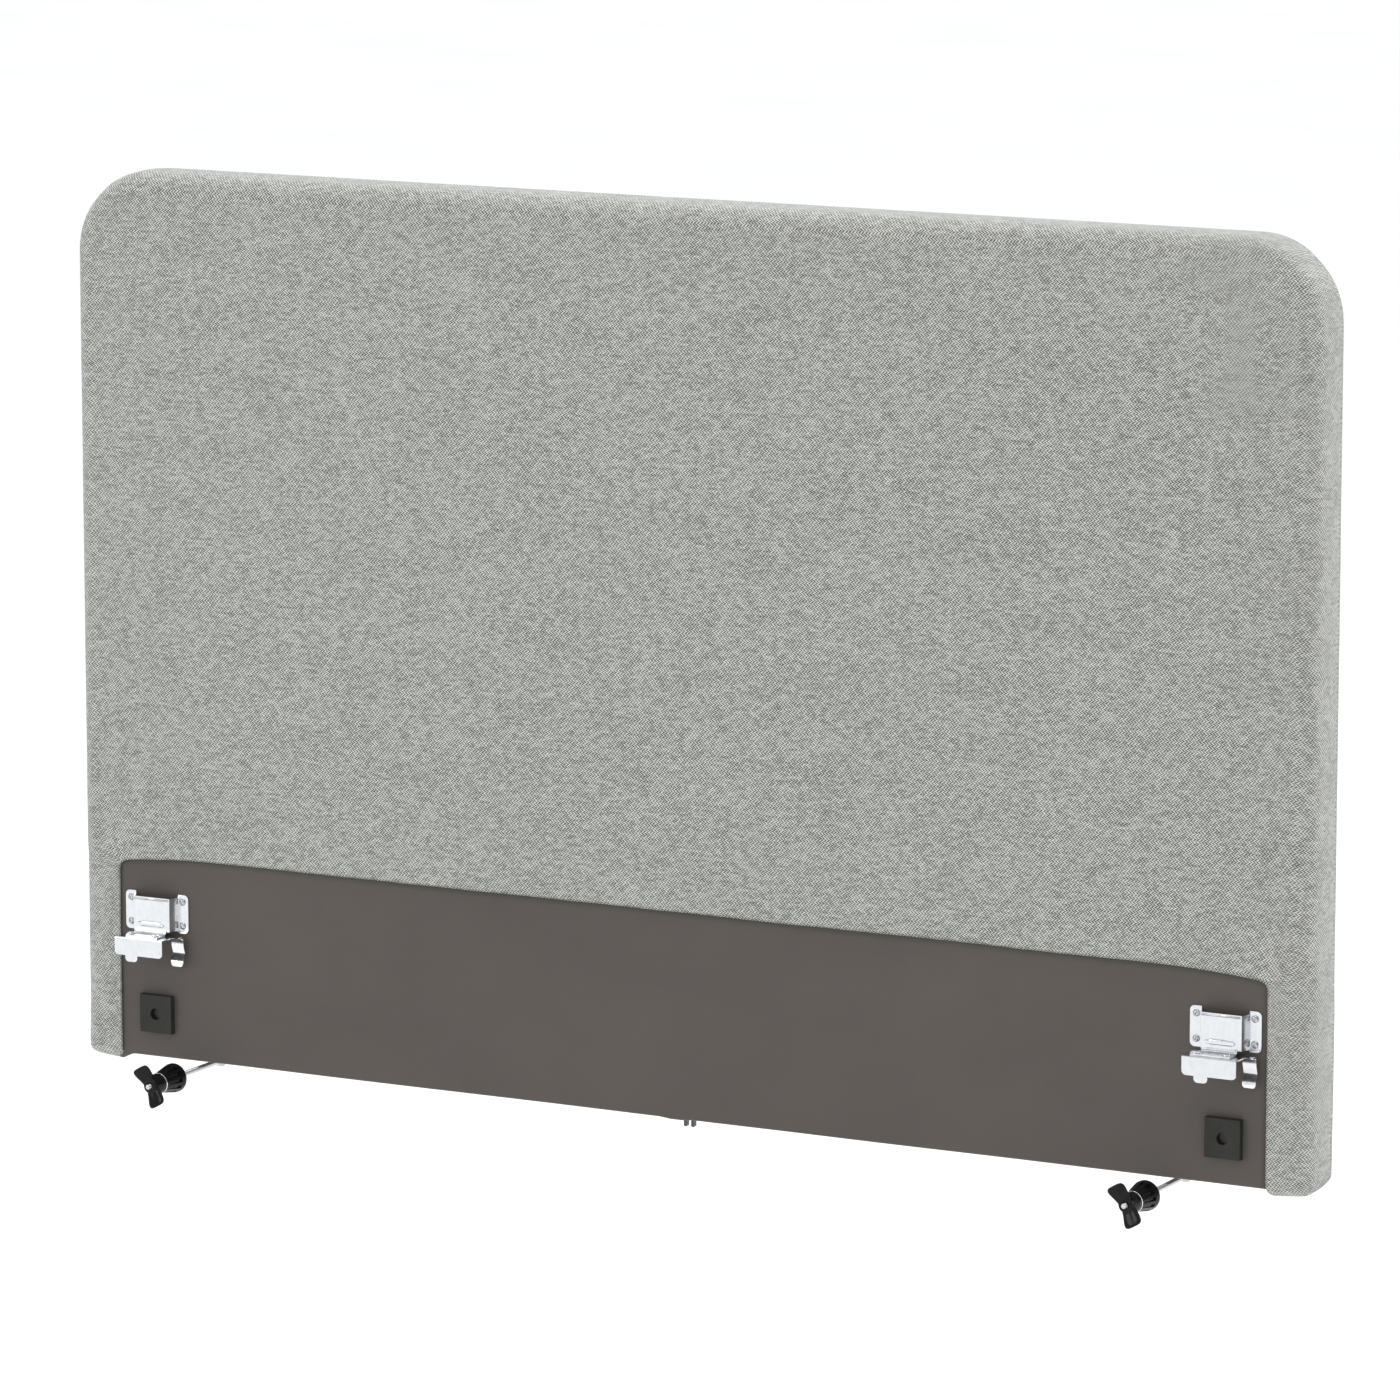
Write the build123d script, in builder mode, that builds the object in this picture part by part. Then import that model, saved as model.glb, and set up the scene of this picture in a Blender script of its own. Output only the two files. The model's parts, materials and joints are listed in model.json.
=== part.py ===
# Upholstered privacy panel that hooks onto a rail or desk edge and is pulled tight by two screw clamps.
# X runs along the panel, Y goes into the panel with the lined side towards -Y, and Z is up.
# The origin is at mid width, on the lining's front plane, level with the underside of the hook shelves.
import math
import os

from build123d import *

os.makedirs("parts", exist_ok=True)

# Panel
panel_width = 1509
panel_height = 1000  # from the lining's lower edge to the top
seat_height = 141.5  # from the lining's lower edge to the hook shelves' underside
corner_radius = 90
skirt_corner_radius = 20
skirt_drop = 9  # how far the side borders hang below the lining
cover_front = -3.5
cover_back = 67
front_edge_radius = 18
back_edge_radius = 13
cover_thickness = 2
gap = 0.3  # between layers that only touch in the real panel

lining_bottom = -seat_height
skirt_bottom = lining_bottom - skirt_drop
panel_top = lining_bottom + panel_height
half_width = panel_width / 2

# Lined window at the bottom of the front
window_half_width = 705
window_height = 231
window_bow = 8  # how much lower the window's top is at its two ends
bow_length = 120
window_corner_radius = 10
lining_thickness = 1.2
window_top = lining_bottom + window_height

# Layers behind the cover
mounting_board_front = lining_thickness + gap
front_board_front = 14.3
board_thickness = 3.2
timber_front = 17.8
timber_depth = 30
timber_height = 45
edge_foam_width = 14
timber_back = timber_front + timber_depth
back_board_front = timber_back + gap
back_foam_front = back_board_front + board_thickness + gap
frame_margin = cover_thickness + edge_foam_width + 2 * gap
frame_half_width = half_width - frame_margin
frame_top = panel_top - frame_margin
frame_bottom = lining_bottom + 3.5
stile_inner_x = frame_half_width - timber_height
mid_rail_z = window_top + 25
frame_screw_length = 90
frame_screw_radius = 2.25
frame_screw_head = 4.5
frame_screw_heights = (frame_bottom + 10, frame_bottom + 35, mid_rail_z - 12, mid_rail_z + 12)

# Hook brackets
bracket_x = 656.6
sheet = 1.5
flange_pitch = 67
flange_width = 13
flange_low = 4
flange_high = 48
box_depth = 14
box_front_width = 46
box_base_width = 55
box_low = 6.5
box_high = 44.5
screw_low = 12.7
screw_high = 40
hook_reach = 38
hook_left = -33.7
hook_right = 28.5
lip_height = 19
tab_left = -19.8
tab_right = -4
tab_height = 26
rivet_radius = 4.2
rivet_places = ((-20, -22), (12, -25))
finger_left = 23.3
finger_right = 38.8
finger_top = -0.6
finger_crease = -17.5
finger_tip = -33

# Buffer pads
pad_width = 41
pad_height = 43
pad_thickness = 8
pad_hole_radius = 6.5
pad_z = lining_bottom + 51

# Screw clamps
clamp_half_spacing = 598
clamp_offset = -10  # both clamps sit this far towards -X
rod_radius = 3
rod_z = lining_bottom - 9
rod_front = -103.4
rod_back = 61
anchor_front = back_foam_front
anchor_thickness = 2.5
anchor_half_width = 11
anchor_end_radius = 7
anchor_top = lining_bottom + 34
nut_width = 10
nut_thickness = 5
running_gap = 0.05
wing_front = -104
hub_length = 22
washer_thickness = 1.4
washer_radius = 12
cone_length = 34
cone_small_radius = 11.2
cone_big_radius = 16.5
flute_count = 12
wing_span = 48
wing_width = 17
wing_lean = 30  # degrees from upright
insert_radius = 5
insert_length = 12
hub_back = wing_front + hub_length
washer_back = hub_back + gap + washer_thickness
cone_front = washer_back + 0.1
cone_back = cone_front + cone_length

# Zips along the bottom
zip_y = 34
zip_field = 18
zip_half_length = 540
zip_meeting_x = 3
tape_thickness = 0.8
chain_width = 5
slider_length = 8
slider_width = 9
pull_length = 10

clamp_places = {"left": -clamp_half_spacing + clamp_offset, "right": clamp_half_spacing + clamp_offset}
bracket_places = {"left": -bracket_x, "right": bracket_x}


def front_plane(y):
    """Upright plane at depth y whose normal points out of the lined side."""
    return Plane.XZ.offset(-y)


def save(part, name):
    part.label = name
    export_step(part, f"parts/{name}.step")


def panel_form(margin):
    """Soft outer form of the whole panel, shrunk by a margin all round."""
    width = panel_width - 2 * margin
    height = panel_top - skirt_bottom - 2 * margin
    with BuildPart() as form:
        with BuildSketch(front_plane(cover_back - margin)) as outline:
            with Locations((0, (panel_top + skirt_bottom) / 2)):
                Rectangle(width, height)
            fillet(outline.vertices().group_by(Axis.Y)[-1], corner_radius - margin)
            fillet(outline.vertices().group_by(Axis.Y)[0], skirt_corner_radius - margin)
        extrude(amount=cover_back - cover_front - 2 * margin)
        fillet(form.faces().sort_by(Axis.Y)[0].edges(), front_edge_radius - margin)
        fillet(form.faces().sort_by(Axis.Y)[-1].edges(), back_edge_radius - margin)
    return form.part


def window_outline(margin):
    """Outline of the lined window; a positive margin makes it larger."""
    side = window_half_width + margin
    top = window_top + margin
    bottom = lining_bottom - margin
    shoulder = side - bow_length
    low_top = top - window_bow
    with BuildSketch() as outline:
        with BuildLine():
            Line((-shoulder, top), (shoulder, top))
            Spline((shoulder, top), (side, low_top), tangents=((1, 0), (1, -0.12)))
            Line((side, low_top), (side, bottom))
            Line((side, bottom), (-side, bottom))
            Line((-side, bottom), (-side, low_top))
            Spline((-side, low_top), (-shoulder, top), tangents=((1, 0.12), (1, 0)))
        make_face()
        top_corners = [v for v in outline.vertices() if abs(v.Y - low_top) < 0.01]
        fillet(top_corners, window_corner_radius)
    return outline.sketch


def frame_outline():
    """Outline of the timber frame, rounded at the top to follow the panel."""
    with BuildSketch() as outline:
        with Locations((0, (frame_top + frame_bottom) / 2)):
            Rectangle(2 * frame_half_width, frame_top - frame_bottom)
        fillet(outline.vertices().group_by(Axis.Y)[-1], corner_radius - frame_margin)
    return outline.sketch


def upright_block(x_range, y_range, z_range):
    """Rectangular block between two corners."""
    x_low, x_high = x_range
    y_low, y_high = y_range
    z_low, z_high = z_range
    with BuildPart() as block:
        with BuildSketch(front_plane(y_high)):
            with Locations(((x_low + x_high) / 2, (z_low + z_high) / 2)):
                Rectangle(x_high - x_low, z_high - z_low)
        extrude(amount=y_high - y_low)
    return block.part


def drill(radius, x, z, y_low, y_high):
    """Round tool along Y, for holes in boards and sheets."""
    with BuildPart() as tool:
        with BuildSketch(front_plane(y_high)):
            with Locations((x, z)):
                Circle(radius)
        extrude(amount=y_high - y_low)
    return tool.part


def stile_screw(sign, z, play):
    """Countersunk screw through a stile into a rail's end; play makes the tool for its hole."""
    middle_y = timber_front + timber_depth / 2
    with BuildPart() as screw:
        for radius, length, taper in (
            (frame_screw_radius, frame_screw_length, 0),
            (frame_screw_head, frame_screw_head - frame_screw_radius, 44),
        ):
            with BuildSketch(Plane.YZ.offset(sign * frame_half_width)):
                with Locations((middle_y, z)):
                    Circle(radius + play)
            extrude(amount=-sign * (length + play), taper=taper)
    return screw.part


outer_form = panel_form(0)
inner_form = panel_form(cover_thickness)
foam_form = panel_form(cover_thickness + gap)
bracket_screw_places = [
    (x + side * flange_pitch / 2, z)
    for x in bracket_places.values()
    for side in (-1, 1)
    for z in (screw_low, screw_high)
]

# --- Timber frame -------------------------------------------------------------------------------
rail_span = (-stile_inner_x + gap, stile_inner_x - gap)
timber_span = (timber_front, timber_back)

with BuildPart() as frame_top_rail:
    with BuildSketch(front_plane(timber_back)):
        add(frame_outline())
    extrude(amount=timber_depth)
    add(
        upright_block((-half_width, half_width), timber_span, (frame_top - timber_height, frame_top)),
        mode=Mode.INTERSECT,
    )
save(frame_top_rail.part, "frame_top_rail")

for side, sign in (("left", -1), ("right", 1)):
    stile_span = sorted((sign * stile_inner_x, sign * frame_half_width))
    with BuildPart() as frame_stile:
        with BuildSketch(front_plane(timber_back)):
            add(frame_outline())
        extrude(amount=timber_depth)
        add(
            upright_block(stile_span, timber_span, (frame_bottom, frame_top - timber_height - gap)),
            mode=Mode.INTERSECT,
        )
        for z in frame_screw_heights:
            add(stile_screw(sign, z, 0.1), mode=Mode.SUBTRACT)
    save(frame_stile.part, f"frame_{side}_stile")

with BuildPart() as frame_bottom_rail:
    add(upright_block(rail_span, timber_span, (frame_bottom, frame_bottom + timber_height)))
    for x in clamp_places.values():
        for dx in (-7, 7):
            screw_z = anchor_top - 10
            add(drill(1.8, x + dx, screw_z, timber_front, timber_back), mode=Mode.SUBTRACT)
    for sign in (-1, 1):
        for z in frame_screw_heights[:2]:
            add(stile_screw(sign, z, 0.1), mode=Mode.SUBTRACT)
save(frame_bottom_rail.part, "frame_bottom_rail")

mid_rail_low = mid_rail_z - timber_height / 2
with BuildPart() as frame_mid_rail:
    add(upright_block(rail_span, timber_span, (mid_rail_low, mid_rail_low + timber_height)))
    for sign in (-1, 1):
        for z in frame_screw_heights[2:]:
            add(stile_screw(sign, z, 0.1), mode=Mode.SUBTRACT)
save(frame_mid_rail.part, "frame_mid_rail")

post_span = (-timber_height / 2, timber_height / 2)
post_low = mid_rail_low + timber_height + gap
with BuildPart() as frame_centre_post:
    add(upright_block(post_span, timber_span, (post_low, frame_top - timber_height - gap)))
save(frame_centre_post.part, "frame_centre_post")

block_leg = 60
with BuildPart() as corner_blocks:
    with BuildSketch(front_plane(timber_back - 2)):
        for sign in (-1, 1):
            for z, up in ((frame_top - timber_height - gap, -1), (frame_bottom + timber_height + gap, 1)):
                x = sign * (stile_inner_x - gap)
                with BuildLine():
                    Polyline((x, z), (x - sign * block_leg, z), (x, z + up * block_leg), close=True)
                make_face()
    extrude(amount=timber_depth - 4)
save(corner_blocks.part, "corner_blocks")

frame_screws = Compound(
    children=[stile_screw(sign, z, 0) for sign in (-1, 1) for z in frame_screw_heights]
)
save(frame_screws, "frame_screws")

# --- Boards -------------------------------------------------------------------------------------
with BuildPart() as front_board:
    with BuildSketch(front_plane(front_board_front + board_thickness)):
        add(frame_outline())
        with Locations((0, (window_top + gap + frame_bottom) / 2)):
            Rectangle(2 * (window_half_width + gap), window_top + gap - frame_bottom, mode=Mode.SUBTRACT)
    extrude(amount=board_thickness)
save(front_board.part, "front_board")

mounting_board_thickness = timber_front - gap - mounting_board_front
with BuildPart() as mounting_board:
    add(
        upright_block(
            (-window_half_width + gap, window_half_width - gap),
            (mounting_board_front, mounting_board_front + mounting_board_thickness),
            (frame_bottom, window_top - window_bow - gap),
        )
    )
    for x, z in bracket_screw_places:
        add(drill(1.8, x, z, mounting_board_front - 1, timber_front), mode=Mode.SUBTRACT)
save(mounting_board.part, "mounting_board")

with BuildPart() as back_board:
    with BuildSketch(front_plane(back_board_front + board_thickness)):
        add(frame_outline())
    extrude(amount=board_thickness)
    for x in clamp_places.values():
        for dx in (-7, 7):
            hole = drill(1.8, x + dx, anchor_top - 10, timber_back, back_foam_front)
            add(hole, mode=Mode.SUBTRACT)
save(back_board.part, "back_board")

# --- Foam ---------------------------------------------------------------------------------------
front_foam_span = (cover_front, front_board_front - gap)
with BuildPart() as front_foam:
    add(foam_form)
    add(
        upright_block(
            (-half_width, half_width), front_foam_span, (window_top + gap, panel_top)
        ),
        mode=Mode.INTERSECT,
    )
save(front_foam.part, "front_foam")

for side, sign in (("left", -1), ("right", 1)):
    border_span = sorted((sign * (window_half_width + 2.5), sign * half_width))
    with BuildPart() as border_foam:
        add(foam_form)
        add(
            upright_block(border_span, front_foam_span, (skirt_bottom, window_top)),
            mode=Mode.INTERSECT,
        )
    save(border_foam.part, f"{side}_border_foam")

edge_foam_span = (front_board_front, back_foam_front - gap)
with BuildPart() as edge_foam:
    add(foam_form)
    add(
        upright_block((-half_width, half_width), edge_foam_span, (skirt_bottom, panel_top)),
        mode=Mode.INTERSECT,
    )
    with BuildSketch(front_plane(edge_foam_span[1])):
        add(frame_outline())
        with Locations((0, frame_bottom)):
            Rectangle(2 * frame_half_width, 2 * (frame_bottom - skirt_bottom))
    extrude(amount=edge_foam_span[1] - edge_foam_span[0], mode=Mode.SUBTRACT)
save(edge_foam.part, "edge_foam")

pocket_half_width = 20
with BuildPart() as back_foam:
    add(foam_form)
    add(
        upright_block(
            (-half_width, half_width), (back_foam_front, cover_back), (frame_bottom, panel_top)
        ),
        mode=Mode.INTERSECT,
    )
    for x in clamp_places.values():
        pocket_x = (x - pocket_half_width, x + pocket_half_width)
        pocket_z = (skirt_bottom, anchor_top + 4)
        add(upright_block(pocket_x, (timber_back, 63), pocket_z), mode=Mode.SUBTRACT)
save(back_foam.part, "back_foam")

# --- Cover, lining and zips ---------------------------------------------------------------------
hem_front = zip_y + zip_field / 2
below = skirt_bottom - 10
with BuildPart() as fabric_cover:
    add(outer_form)
    add(inner_form, mode=Mode.SUBTRACT)
    with BuildSketch(front_plane(front_board_front)):
        add(window_outline(0))
    extrude(amount=front_board_front - cover_front + 1, mode=Mode.SUBTRACT)
    add(
        upright_block(
            (-window_half_width, window_half_width), (cover_front - 5, cover_back + 5), (below, lining_bottom)
        ),
        mode=Mode.SUBTRACT,
    )
    for sign in (-1, 1):
        skirt_wall = sorted((sign * window_half_width, sign * (window_half_width + cover_thickness)))
        add(
            upright_block(
                skirt_wall,
                (cover_front + cover_thickness, cover_back - cover_thickness),
                (skirt_bottom + 1, lining_bottom + cover_thickness),
            )
        )
    add(
        upright_block(
            (-window_half_width - 1, window_half_width + 1),
            (hem_front, cover_back - 1),
            (lining_bottom, lining_bottom + cover_thickness),
        )
    )
    for x in clamp_places.values():
        slot_x = (x - anchor_half_width - 4, x + anchor_half_width + 4)
        slot_y = (hem_front - 1, 62)
        add(upright_block(slot_x, slot_y, (lining_bottom - 1, lining_bottom + 3)), mode=Mode.SUBTRACT)
save(fabric_cover.part, "fabric_cover")

with BuildPart() as lower_lining:
    with BuildSketch(front_plane(lining_thickness)):
        add(window_outline(-gap))
    extrude(amount=lining_thickness)
    for x, z in bracket_screw_places:
        add(drill(2.2, x, z, -1, lining_thickness + 1), mode=Mode.SUBTRACT)
save(lower_lining.part, "lower_lining")

base_inner_x = window_half_width - gap
with BuildPart() as base_lining:
    add(
        upright_block(
            (-base_inner_x, base_inner_x),
            (lining_thickness + gap, zip_y - zip_field / 2),
            (lining_bottom, lining_bottom + lining_thickness),
        )
    )
save(base_lining.part, "base_lining")

tape_low = lining_bottom + cover_thickness + 0.1
with BuildPart() as zip_tapes:
    for low, high in ((zip_y - zip_field / 2 - 2, zip_y - gap), (zip_y + gap, zip_y + zip_field / 2 + 2)):
        tape_x = (-zip_half_length - 8, zip_half_length + 8)
        add(upright_block(tape_x, (low, high), (tape_low, tape_low + tape_thickness)))
save(zip_tapes.part, "zip_tapes")

chain_low = lining_bottom + 0.4
chain_high = tape_low - 0.1
slider_top = chain_high - 0.2
slider_base = chain_low - 0.4
slider_bottom = slider_base - 2.6
pivot_z = slider_bottom - 2.4
for side, sign in (("left", -1), ("right", 1)):
    chain_span = sorted((zip_meeting_x + sign * gap, sign * zip_half_length))
    with BuildPart() as zip_chain:
        chain_y = (zip_y - chain_width / 2, zip_y + chain_width / 2)
        add(upright_block(chain_span, chain_y, (chain_low, chain_high)))
    save(zip_chain.part, f"{side}_zip_chain")

    slider_x = zip_meeting_x + sign * (slider_length / 2 + 0.5)
    with BuildPart() as zip_slider:
        with BuildSketch(Plane.XY.offset(slider_bottom)) as slider_plan:
            with Locations((slider_x, zip_y)):
                Rectangle(slider_length, slider_width)
            fillet(slider_plan.vertices(), 2)
        extrude(amount=slider_top - slider_bottom)
        with BuildSketch(Plane.XY.offset(slider_base)):
            with Locations((slider_x, zip_y)):
                Rectangle(slider_length + 2, chain_width + 0.8)
        extrude(amount=5, mode=Mode.SUBTRACT)
        with BuildSketch(front_plane(zip_y + 1.5)):
            with Locations((slider_x, pivot_z)):
                Circle(2)
            with Locations((slider_x, (pivot_z + slider_bottom) / 2)):
                Rectangle(4, slider_bottom - pivot_z)
        extrude(amount=3)
        with BuildSketch(front_plane(zip_y + 3)):
            with Locations((slider_x, pivot_z)):
                Circle(0.75)
        extrude(amount=6, mode=Mode.SUBTRACT)
    save(zip_slider.part, f"{side}_zip_slider")

    with BuildPart() as zip_pull:
        with BuildSketch(front_plane(zip_y + 2.6)) as pull_outline:
            with Locations((slider_x, pivot_z - pull_length / 2)):
                Rectangle(4, pull_length)
            with Locations((slider_x, pivot_z)):
                Circle(2)
            fillet(pull_outline.vertices().group_by(Axis.Y)[0], 1.5)
        extrude(amount=5.2)
        with BuildSketch(front_plane(zip_y + 1.8)):
            with Locations((slider_x, pivot_z)):
                Circle(3.3)
        extrude(amount=3.6, mode=Mode.SUBTRACT)
        with BuildSketch(front_plane(zip_y + 2)):
            with Locations((slider_x, pivot_z)):
                Circle(0.65)
        extrude(amount=4)
    save(zip_pull.part, f"{side}_zip_pull")


# --- Fasteners ----------------------------------------------------------------------------------
def cross_screw(x, z, seat_y, shank_length, shank_radius=1.75, head_radius=4, head_height=2.4):
    """Round-head screw driven along +Y, its head resting on the plane y = seat_y."""
    with BuildPart() as screw:
        with BuildSketch(Plane.XY):
            with BuildLine():
                Line((0, -head_height), (0, shank_length))
                Line((0, shank_length), (shank_radius, shank_length - 2))
                Line((shank_radius, shank_length - 2), (shank_radius, 0))
                Line((shank_radius, 0), (head_radius, 0))
                Line((head_radius, 0), (head_radius, -0.6))
                TangentArc((head_radius, -0.6), (0, -head_height), tangent=(-0.35, -1))
            make_face()
        revolve(axis=Axis.Y)
        with BuildSketch(front_plane(-head_height + 1.3)):
            Rectangle(3.6, 0.9)
            Rectangle(0.9, 3.6)
        extrude(amount=3, mode=Mode.SUBTRACT)
    return screw.part.moved(Location((x, seat_y, z)))


def bracket_of(x):
    """Folded hat-section bracket with a rib, and a foot that carries the hook plate."""
    base = box_base_width / 2
    front = box_front_width / 2
    flange_outer = flange_pitch / 2 + flange_width / 2 + 1
    with BuildPart() as bracket:
        with BuildSketch(Plane.XY.offset(box_low)):
            with BuildLine():
                Polyline(
                    (x - base - 2, -sheet / 2),
                    (x - base, -sheet / 2),
                    (x - front, -box_depth + sheet / 2),
                    (x + front, -box_depth + sheet / 2),
                    (x + base, -sheet / 2),
                    (x + base + 2, -sheet / 2),
                )
                offset(amount=sheet / 2)
            make_face()
        extrude(amount=box_high - box_low)
        for side in (-1, 1):
            inner = base
            with BuildSketch(front_plane(0)) as flange:
                with Locations((x + side * (inner + flange_outer) / 2, (flange_low + flange_high) / 2)):
                    Rectangle(flange_outer - inner, flange_high - flange_low)
                outer_corners = flange.vertices().sort_by(Axis.X)
                fillet(outer_corners[-2:] if side > 0 else outer_corners[:2], 5.5)
            extrude(amount=sheet)
        # forward foot under the box, bent from its front wall
        with BuildSketch(Plane.YZ.offset(x - front + 1)):
            with BuildLine():
                Line((-box_depth, box_low + 1), (-box_depth, box_low))
                TangentArc((-box_depth, box_low), (-box_depth - 3.5, 3.2), tangent=(0, -1))
                Line((-box_depth - 3.5, 3.2), (-hook_reach + 5, 3.2))
                Line((-hook_reach + 5, 3.2), (-hook_reach + 5, 1.7))
                Line((-hook_reach + 5, 1.7), (-box_depth - 2, 1.7))
                Line((-box_depth - 2, 1.7), (-box_depth + sheet, 5))
                Line((-box_depth + sheet, 5), (-box_depth + sheet, box_low + 1))
                Line((-box_depth + sheet, box_low + 1), (-box_depth, box_low + 1))
            make_face()
        extrude(amount=box_front_width - 5)
        # pressed rib across the front wall
        with BuildSketch(front_plane(-box_depth + 0.6)):
            with Locations((x - 1, box_low + 7)):
                SlotOverall(36, 4.6)
        extrude(amount=2, taper=24)
        for side in (-1, 1):
            for z in (screw_low, screw_high):
                add(drill(2.2, x + side * flange_pitch / 2, z, -3, 2), mode=Mode.SUBTRACT)
        for rivet_x, rivet_y in rivet_places:
            with BuildSketch(Plane.XY):
                with Locations((x + rivet_x, rivet_y)):
                    Circle(rivet_radius - 1.15)
            extrude(amount=5, mode=Mode.SUBTRACT)
    return bracket.part


def hook_plate_of(x):
    """Shelf and down-turned lip that hang over the rail."""
    notch_y = -19
    with BuildPart() as hook:
        with BuildSketch(Plane.XY) as shelf:
            with BuildLine():
                Polyline(
                    (x + hook_left, -hook_reach),
                    (x + hook_right, -hook_reach),
                    (x + hook_right, notch_y),
                    (x + finger_left - 1, notch_y),
                    (x + finger_left - 1, -2),
                    (x + hook_left, -2),
                    close=True,
                )
            make_face()
            fillet([v for v in shelf.vertices() if v.X < x and v.Y > -3], 4)
        extrude(amount=sheet)
        with BuildSketch(front_plane(-hook_reach + sheet)) as lip:
            with Locations((x + (hook_left + hook_right) / 2, (sheet - lip_height) / 2)):
                Rectangle(hook_right - hook_left, lip_height + sheet)
            fillet(lip.vertices().group_by(Axis.Y)[0], 5)
            with Locations((x + (tab_left + tab_right) / 2, sheet - (tab_height + sheet) / 2)):
                Rectangle(tab_right - tab_left, tab_height + sheet)
            fillet(lip.vertices().group_by(Axis.Y)[0], 4.5)
        extrude(amount=sheet)
        bend = hook.edges().filter_by(Axis.X).filter_by_position(Axis.Z, sheet - 0.1, sheet + 0.1)
        fillet(bend.sort_by(Axis.Y)[0], 1.3)
        for rivet_x, rivet_y in rivet_places:
            with BuildSketch(Plane.XY):
                with Locations((x + rivet_x, rivet_y)):
                    Circle(rivet_radius - 1.15)
            extrude(amount=5, both=True, mode=Mode.SUBTRACT)
    return hook.part


def hook_rivets_of(x):
    """Ring-topped clinch rivets that join the bracket's foot to the hook plate."""
    with BuildPart() as rivets:
        for rivet_x, rivet_y in rivet_places:
            with BuildSketch(Plane.XY.offset(0.1)):
                with Locations((x + rivet_x, rivet_y)):
                    Circle(rivet_radius - 1.2)
            extrude(amount=3.8)
            with BuildSketch(Plane.XY.offset(3.3)):
                with Locations((x + rivet_x, rivet_y)):
                    Circle(rivet_radius)
            extrude(amount=0.9, taper=20)
            with BuildSketch(Plane.XY.offset(3.3)):
                with Locations((x + rivet_x, rivet_y)):
                    Circle(rivet_radius - 1.8)
            extrude(amount=2, mode=Mode.SUBTRACT)
    return rivets.part


def spring_finger_of(x):
    """Leaf spring: down from the shelf, back to a crease, then bellied forward to a rounded tip."""
    with BuildPart() as finger:
        with BuildSketch(Plane.YZ.offset(x + finger_left)):
            with BuildLine():
                Line((-17.5, 0.75), (-11.5, 0.75))
                TangentArc((-11.5, 0.75), (-8.8, -2.2), tangent=(1, 0))
                Spline((-8.8, -2.2), (-5.2, finger_crease), tangents=((0, -1), (0.35, -1)))
                Spline((-5.2, finger_crease), (-9.6, finger_tip + 0.8), tangents=((-0.6, -1), (0.1, -1)))
            trace(line_width=sheet)
        extrude(amount=finger_right - finger_left)
        width = finger_right - finger_left
        with BuildSketch(front_plane(0)) as face:
            with Locations((x + finger_left + width / 2, (3 + finger_tip) / 2)):
                Rectangle(width, 3 - finger_tip)
            fillet(face.vertices().group_by(Axis.Y)[0], 5)
        extrude(amount=30, mode=Mode.INTERSECT)
    return finger.part


def buffer_pad_of(x):
    """Square rubber pad with a round hole, glued to the lining."""
    with BuildPart() as pad:
        with BuildSketch(front_plane(0)):
            with Locations((x, pad_z)):
                Rectangle(pad_width, pad_height)
                Circle(pad_hole_radius, mode=Mode.SUBTRACT)
        extrude(amount=pad_thickness)
        chamfer(pad.faces().sort_by(Axis.Y)[0].edges(), 0.4)
    return pad.part


# --- Screw clamps -------------------------------------------------------------------------------
def rod_anchor_of(x):
    """Round-ended plate behind the bottom rail that holds the rod below the panel."""
    with BuildPart() as anchor:
        with BuildSketch(front_plane(anchor_front + anchor_thickness)):
            with BuildLine():
                Polyline(
                    (x - anchor_half_width, anchor_top),
                    (x + anchor_half_width, anchor_top),
                    (x + anchor_half_width, anchor_top - 20),
                    (x + anchor_end_radius, rod_z),
                    (x - anchor_end_radius, rod_z),
                    (x - anchor_half_width, anchor_top - 20),
                    close=True,
                )
            make_face()
            with Locations((x, rod_z)):
                Circle(anchor_end_radius)
                Circle(rod_radius + running_gap, mode=Mode.SUBTRACT)
            with Locations((x - 7, anchor_top - 10), (x + 7, anchor_top - 10)):
                Circle(2, mode=Mode.SUBTRACT)
        extrude(amount=anchor_thickness)
    return anchor.part


def clamp_rod_of(x):
    """Threaded rod from the anchor to the wing nut, with chamfered ends."""
    with BuildPart() as rod:
        with BuildSketch(front_plane(rod_back)):
            with Locations((x, rod_z)):
                Circle(rod_radius)
        extrude(amount=rod_back - rod_front)
        chamfer(rod.edges(), 0.5)
    return rod.part


def rod_nuts_of(x):
    """Two hexagon nuts that pinch the anchor plate."""
    with BuildPart() as nuts:
        for back in (anchor_front - 0.1, anchor_front + anchor_thickness + 0.1 + nut_thickness):
            with BuildSketch(front_plane(back)):
                with Locations((x, rod_z)):
                    RegularPolygon(nut_width / 2, 6, major_radius=False, rotation=30)
                    Circle(rod_radius + running_gap, mode=Mode.SUBTRACT)
            extrude(amount=nut_thickness)
    return nuts.part


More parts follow.
